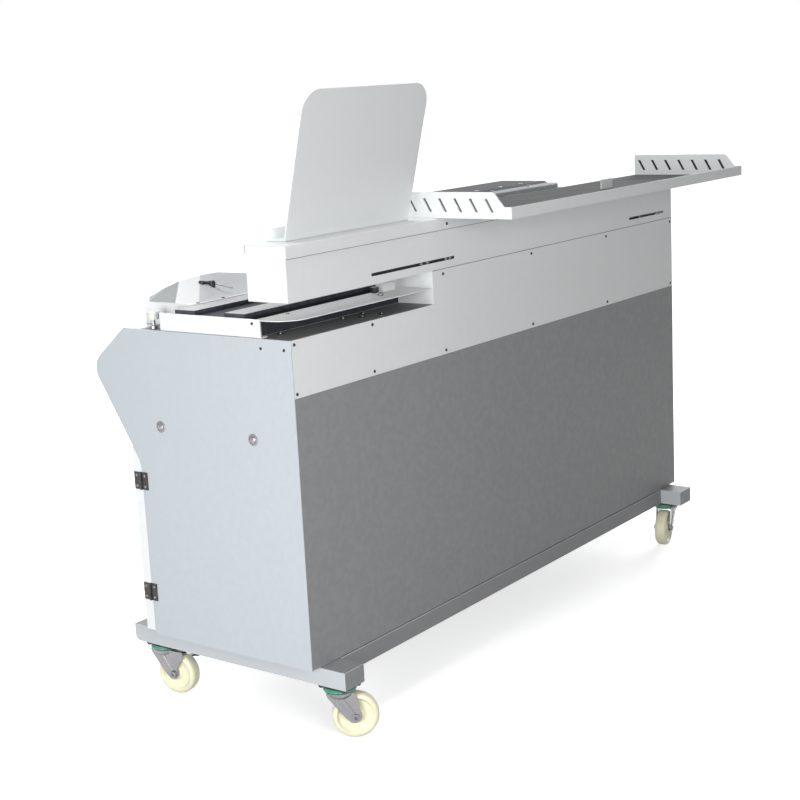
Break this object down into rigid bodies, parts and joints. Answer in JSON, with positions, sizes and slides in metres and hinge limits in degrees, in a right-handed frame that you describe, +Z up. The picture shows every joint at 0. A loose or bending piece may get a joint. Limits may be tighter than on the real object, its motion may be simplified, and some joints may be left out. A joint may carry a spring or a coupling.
{
  "type": "thermal binding machine",
  "caption": "Floor-standing hot-melt book binding machine: cabinet on casters, travelling clamp carriage, milling and glue stations, nip station, cover table and book support.",
  "frame": {"origin": "middle of the bounding box, on the floor under the wheels", "axes": "+Z up; +X from the operator's left, where the clamp carriage waits, to the nip station; -Y towards the operator, +Y towards the back with the cover table"},
  "size_m": [1.7086, 0.7716, 1.3493],
  "materials": {
    "light_paint": "light blue-grey satin powder coat",
    "white_paint": "off-white satin powder coat",
    "grey_paint": "mid-grey satin powder coat",
    "frame_paint": "grey powder coat",
    "dark_steel": "blackened ground steel",
    "steel": "ground steel",
    "zinc": "bright zinc plate",
    "aluminium": "milled aluminium",
    "cast_iron": "painted casting",
    "motor_paint": "dark blue-grey enamel",
    "black_plastic": "black moulding",
    "nylon": "cream nylon",
    "rubber": "toothed belt rubber",
    "ring_green": "green enamel",
    "screen": "dark glossy screen face",
    "green_plastic": "green button",
    "red_plastic": "red mushroom button"
  },
  "bodies": {
    "cabinet": {"base_frame": "frame_paint", "bottom_plate": "frame_paint", "left_end_panel": "light_paint", "right_end_panel": "light_paint", "rear_lower_panel": "grey_paint", "rear_upper_panel": "white_paint", "console_panel": "light_paint", "deck_plate": "frame_paint", "hinge_nip_lower": "black_plastic", "hinge_load_lower": "black_plastic", "hinge_nip_upper": "black_plastic", "hinge_load_upper": "black_plastic", "upper_housing": "white_paint", "housing_cover": "white_paint", "book_support_plate": "white_paint", "support_bracket": "white_paint", "cover_table": "white_paint", "nip_end_plate": "white_paint", "nip_lift_drive": "aluminium", "rear_cover_tray": "white_paint", "nip_hood": "white_paint", "guide_rail": "steel", "drive_belt": "rubber", "drive_motor": "motor_paint", "milling_motor": "motor_paint", "glue_tank": "aluminium", "glue_motor": "motor_paint", "touch_screen": "screen", "power_inlet": "black_plastic", "rear_nip_caster_plate": "ring_green", "front_nip_caster_plate": "ring_green", "rear_load_caster_plate": "ring_green", "front_load_caster_plate": "ring_green"},
    "door_nip": {"front_door_nip": "white_paint"},
    "door_load": {"front_door_load": "white_paint"},
    "nip_table_lift": {"nip_table": "aluminium"},
    "front_nip": {"front_press_plate": "dark_steel"},
    "rear_nip": {"rear_press_plate": "dark_steel"},
    "knob": {"side_lay_knob": "nylon"},
    "carriage": {"carriage_frame": "cast_iron", "jaw_actuator": "motor_paint", "jaw_cover": "dark_steel"},
    "jaw": {"moving_jaw": "steel"},
    "idler": {"idler_pulley": "aluminium"},
    "driver": {"drive_pulley": "aluminium"},
    "cutter": {"milling_cutter": "steel"},
    "roller_first": {"first_glue_roller": "steel"},
    "roller_second": {"second_glue_roller": "steel"},
    "start": {"start_button": "green_plastic"},
    "stop": {"emergency_stop": "red_plastic"},
    "rear_nip_caster_swivel": {"rear_nip_caster_fork": "zinc"},
    "rear_nip_caster_roll": {"rear_nip_caster_wheel": "nylon"},
    "front_nip_caster_swivel": {"front_nip_caster_fork": "zinc"},
    "front_nip_caster_roll": {"front_nip_caster_wheel": "nylon"},
    "front_nip_caster_pedal": {"front_nip_caster_brake": "black_plastic"},
    "rear_load_caster_swivel": {"rear_load_caster_fork": "zinc"},
    "rear_load_caster_roll": {"rear_load_caster_wheel": "nylon"},
    "front_load_caster_swivel": {"front_load_caster_fork": "zinc"},
    "front_load_caster_roll": {"front_load_caster_wheel": "nylon"},
    "front_load_caster_pedal": {"front_load_caster_brake": "black_plastic"}
  },
  "joints": [
    {"name": "door_nip_hinge", "type": "hinge", "parent": "cabinet", "child": "door_nip", "pos_m": [0.85125, -0.27117, 0.374], "axis": [0, 0, 1], "range_deg": [0, 115]},
    {"name": "door_load_hinge", "type": "hinge", "parent": "cabinet", "child": "door_load", "pos_m": [-0.82175, -0.27117, 0.374], "axis": [0, 0, -1], "range_deg": [0, 115]},
    {"name": "nip_lift", "type": "slide", "parent": "cabinet", "child": "nip_table_lift", "axis": [0, 0, 1], "range_m": [0, 0.01]},
    {"name": "rear_nip_close", "type": "slide", "parent": "nip_table_lift", "child": "rear_nip", "axis": [0, -1, 0], "range_m": [0, 0.038]},
    {"name": "front_nip_close", "type": "slide", "parent": "nip_table_lift", "child": "front_nip", "axis": [0, 1, 0], "range_m": [0, 0.038]},
    {"name": "side_lay_turn", "type": "hinge", "parent": "cabinet", "child": "knob", "pos_m": [0.83275, -0.20817, 0.88], "axis": [0, 0, 1], "range_deg": [-360, 360]},
    {"name": "carriage_travel", "type": "slide", "parent": "cabinet", "child": "carriage", "axis": [1, 0, 0], "range_m": [0, 1.064]},
    {"name": "jaw_close", "type": "slide", "parent": "carriage", "child": "jaw", "axis": [0, 1, 0], "range_m": [0, 0.078]},
    {"name": "idler_turn", "type": "hinge", "parent": "cabinet", "child": "idler", "pos_m": [0.80775, 0.14883, 0.949], "axis": [0, 0, 1], "continuous": true},
    {"name": "drive_turn", "type": "hinge", "parent": "cabinet", "child": "driver", "pos_m": [-0.75225, 0.14883, 0.949], "axis": [0, 0, 1], "continuous": true},
    {"name": "cutter_turn", "type": "hinge", "parent": "cabinet", "child": "cutter", "pos_m": [-0.10225, -0.03367, 0.898], "axis": [0, 0, 1], "continuous": true},
    {"name": "first_roller_turn", "type": "hinge", "parent": "cabinet", "child": "roller_first", "pos_m": [0.19775, -0.03317, 0.88], "axis": [0, 1, 0], "continuous": true},
    {"name": "second_roller_turn", "type": "hinge", "parent": "cabinet", "child": "roller_second", "pos_m": [0.09775, -0.03317, 0.88], "axis": [0, 1, 0], "continuous": true},
    {"name": "start_press", "type": "slide", "parent": "cabinet", "child": "start", "axis": [0, 0.6282, -0.7781], "range_m": [0, 0.003], "stiffness_N_per_m": 400, "springref_m": -0.001},
    {"name": "stop_press", "type": "slide", "parent": "cabinet", "child": "stop", "axis": [0, 0.6282, -0.7781], "range_m": [0, 0.005]},
    {"name": "rear_nip_caster_swivel_turn", "type": "hinge", "parent": "cabinet", "child": "rear_nip_caster_swivel", "pos_m": [0.78725, 0.21083, 0.1], "axis": [0, 0, 1], "continuous": true},
    {"name": "rear_nip_caster_wheel_turn", "type": "hinge", "parent": "rear_nip_caster_swivel", "child": "rear_nip_caster_roll", "pos_m": [0.76797, 0.23381, 0.05], "axis": [-0.766, -0.6428, 0], "continuous": true},
    {"name": "front_nip_caster_swivel_turn", "type": "hinge", "parent": "cabinet", "child": "front_nip_caster_swivel", "pos_m": [0.78725, -0.30017, 0.1], "axis": [0, 0, 1], "continuous": true},
    {"name": "front_nip_caster_wheel_turn", "type": "hinge", "parent": "front_nip_caster_swivel", "child": "front_nip_caster_roll", "pos_m": [0.78307, -0.27046, 0.05], "axis": [-0.9903, -0.1392, 0], "continuous": true},
    {"name": "front_nip_caster_brake_press", "type": "hinge", "parent": "front_nip_caster_swivel", "child": "front_nip_caster_pedal", "pos_m": [0.78001, -0.24868, 0.0995], "axis": [-0.9903, -0.1392, 0], "range_deg": [0, 15]},
    {"name": "rear_load_caster_swivel_turn", "type": "hinge", "parent": "cabinet", "child": "rear_load_caster_swivel", "pos_m": [-0.75775, 0.19183, 0.1], "axis": [0, 0, 1], "continuous": true},
    {"name": "rear_load_caster_wheel_turn", "type": "hinge", "parent": "rear_load_caster_swivel", "child": "rear_load_caster_roll", "pos_m": [-0.72841, 0.19807, 0.05], "axis": [-0.2079, 0.9781, 0], "continuous": true},
    {"name": "front_load_caster_swivel_turn", "type": "hinge", "parent": "cabinet", "child": "front_load_caster_swivel", "pos_m": [-0.75775, -0.30017, 0.1], "axis": [0, 0, 1], "continuous": true},
    {"name": "front_load_caster_wheel_turn", "type": "hinge", "parent": "front_load_caster_swivel", "child": "front_load_caster_roll", "pos_m": [-0.74275, -0.27419, 0.05], "axis": [-0.866, 0.5, 0], "continuous": true},
    {"name": "front_load_caster_brake_press", "type": "hinge", "parent": "front_load_caster_swivel", "child": "front_load_caster_pedal", "pos_m": [-0.73175, -0.25514, 0.0995], "axis": [-0.866, 0.5, 0], "range_deg": [0, 15]}
  ],
  "couplings": [
    {"joint": "front_nip_close", "follows": "rear_nip_close", "ratio": 1},
    {"joint": "idler_turn", "follows": "carriage_travel", "rad_per_m": 51.813},
    {"joint": "drive_turn", "follows": "carriage_travel", "rad_per_m": 51.813},
    {"joint": "second_roller_turn", "follows": "first_roller_turn", "ratio": 1}
  ]
}
